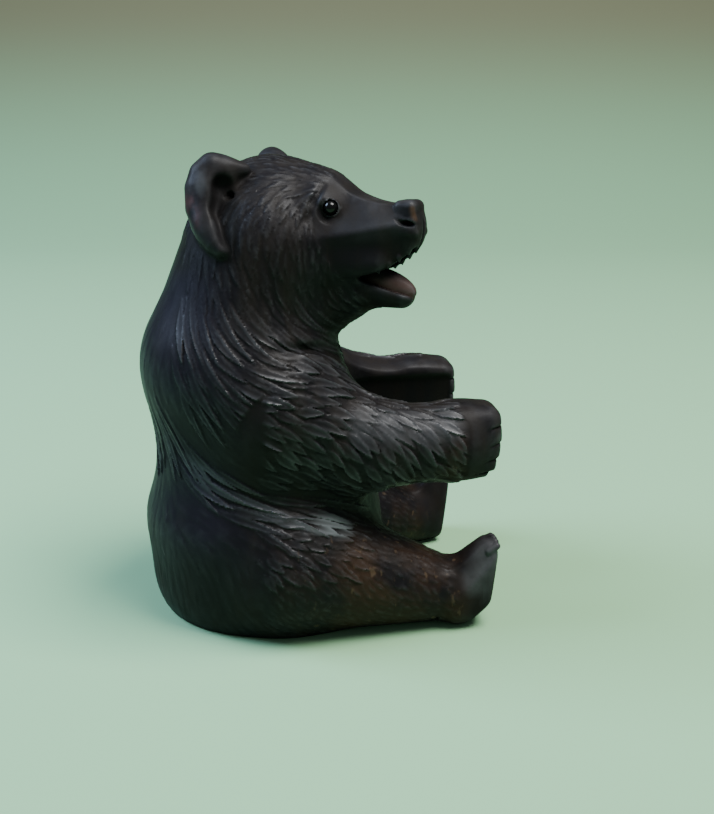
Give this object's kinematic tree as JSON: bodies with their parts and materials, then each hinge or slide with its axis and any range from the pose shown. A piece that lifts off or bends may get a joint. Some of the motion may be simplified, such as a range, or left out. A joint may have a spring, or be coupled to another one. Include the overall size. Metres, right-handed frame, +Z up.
{
  "type": "carved wooden bear figurine",
  "caption": "Seated bear carved from one block of dark stained wood, mouth open, head turned, arms held forward, glass bead eyes.",
  "frame": {"origin": "on the flat sawn underside, below the bear's belly, in its middle plane", "axes": "+X the way the chest and legs face, +Y to the bear's left, +Z up from the underside"},
  "size_m": [0.1207, 0.0959, 0.1595],
  "materials": {
    "carved_wood": "dark brown-black stain under a semi-gloss wax, worn brown on the right leg",
    "eye_glass": "polished black glass bead"
  },
  "bodies": {
    "root": {"bear": "carved_wood", "eye_left": "eye_glass", "eye_right": "eye_glass"}
  },
  "joints": []
}
